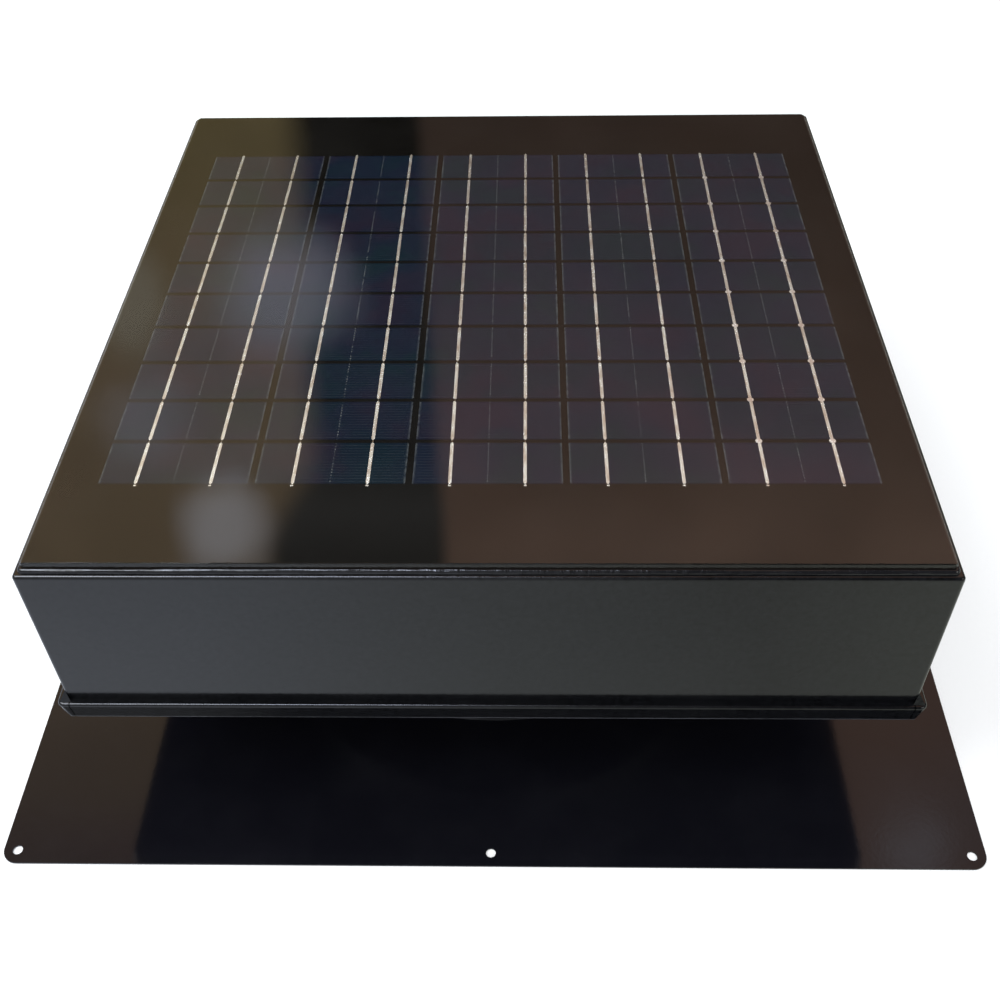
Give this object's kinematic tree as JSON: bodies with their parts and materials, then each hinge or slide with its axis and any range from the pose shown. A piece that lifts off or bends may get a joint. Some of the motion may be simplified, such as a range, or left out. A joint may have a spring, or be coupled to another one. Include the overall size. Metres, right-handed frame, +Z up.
{
  "type": "solar attic fan",
  "caption": "Square roof ventilator with a flat solar panel on its black hood, and a brushless fan in a round throat above a screw-down flashing.",
  "frame": {"origin": "centre of the flashing's underside, on the roof plane", "axes": "+Z up out of the roof along the fan's shaft, +X to the right, +Y to the rear (up the slope)"},
  "size_m": [0.559, 0.559, 0.1964],
  "materials": {
    "black_coating": "gloss black polyester powder coat",
    "black_bracket": "satin black powder coat",
    "sealant": "cured black silicone, slightly glossy",
    "mounting_tape": "black acrylic foam",
    "zinc_hardware": "bright zinc plate",
    "rubber": "matt black EPDM",
    "stainless": "satin stainless steel",
    "solar_glass": "clear low-iron tempered glass",
    "panel_black": "near-black encapsulant seen through glass",
    "cell_silicon": "dark blue anti-reflection coated silicon",
    "tinned_ribbon": "solder-tinned copper ribbon",
    "backsheet": "black polyester film",
    "black_plastic": "fine moulded texture",
    "cable_jacket": "smooth black cable jacket",
    "red_insulation": "red wire insulation",
    "brass": "stamped brass",
    "phenolic": "dark phenolic with a steel cup",
    "cast_aluminium": "die cast, as cast and machined",
    "electrical_steel": "stacked laminations",
    "enamelled_copper": "enamelled copper wire",
    "circuit_board": "green solder mask",
    "bearing_steel": "ground and polished",
    "shaft_steel": "ground steel",
    "magnet": "nickel plated magnet",
    "blade_aluminium": "mill-finish sheet",
    "spider_steel": "zinc plated pressed steel",
    "rivet_aluminium": "plain rivets"
  },
  "bodies": {
    "housing": {"flashing_plate": "black_coating", "throat_collar": "black_coating", "collar_seal": "sealant", "hood_shell": "black_coating", "hood_supports": "black_bracket", "hood_screws": "zinc_hardware", "hood_washers": "rubber", "hood_weld_nuts": "zinc_hardware", "outlet_screen": "stainless", "screen_band": "stainless", "panel_encapsulant": "panel_black", "solar_cells": "cell_silicon", "cell_ribbons": "tinned_ribbon", "panel_glass": "solar_glass", "panel_backsheet": "backsheet", "panel_tape": "mounting_tape", "panel_sealant": "sealant", "junction_box": "black_plastic", "junction_box_lid": "black_plastic", "junction_box_screws": "zinc_hardware", "box_terminals": "brass", "panel_lead": "cable_jacket", "cable_gland": "black_plastic", "motor_lead": "cable_jacket", "connector_plug": "black_plastic", "connector_socket": "black_plastic", "cable_grommets": "rubber", "cable_clips": "black_plastic", "motor_bracket": "black_bracket", "bracket_bolts": "zinc_hardware", "bracket_nuts": "zinc_hardware", "motor_isolators": "rubber", "motor_mount_screws": "zinc_hardware", "thermal_switch": "phenolic", "switch_screws": "zinc_hardware", "splice_sleeve": "cable_jacket", "switch_leads": "red_insulation", "motor_base_cap": "cast_aluminium", "motor_can": "black_bracket", "motor_top_cap": "cast_aluminium", "motor_through_bolts": "zinc_hardware", "stator_core": "electrical_steel", "stator_windings": "enamelled_copper", "driver_board": "circuit_board", "bearing_outer_races": "bearing_steel"},
    "rotor": {"bearing_inner_races": "bearing_steel", "motor_shaft": "shaft_steel", "rotor_core": "electrical_steel", "rotor_magnets": "magnet", "rotor_spacers": "shaft_steel", "shaft_slinger": "shaft_steel", "blade_spider": "spider_steel", "fan_blades": "blade_aluminium", "fan_hub": "cast_aluminium", "hub_set_screw": "zinc_hardware", "fan_rivets": "rivet_aluminium", "shaft_nut": "zinc_hardware"},
    "lower_balls": {"lower_ball_set": "bearing_steel"},
    "upper_balls": {"upper_ball_set": "bearing_steel"}
  },
  "joints": [
    {"name": "fan_spin", "type": "hinge", "parent": "housing", "child": "rotor", "pos_m": [0, 0, 0.09], "axis": [0, 0, 1], "continuous": true},
    {"name": "lower_cage_spin", "type": "hinge", "parent": "housing", "child": "lower_balls", "pos_m": [0, 0, 0.0335], "axis": [0, 0, 1], "continuous": true},
    {"name": "upper_cage_spin", "type": "hinge", "parent": "housing", "child": "upper_balls", "pos_m": [0, 0, 0.0735], "axis": [0, 0, 1], "continuous": true}
  ],
  "couplings": [
    {"joint": "lower_cage_spin", "follows": "fan_spin", "ratio": 0.368},
    {"joint": "upper_cage_spin", "follows": "fan_spin", "ratio": 0.368}
  ]
}
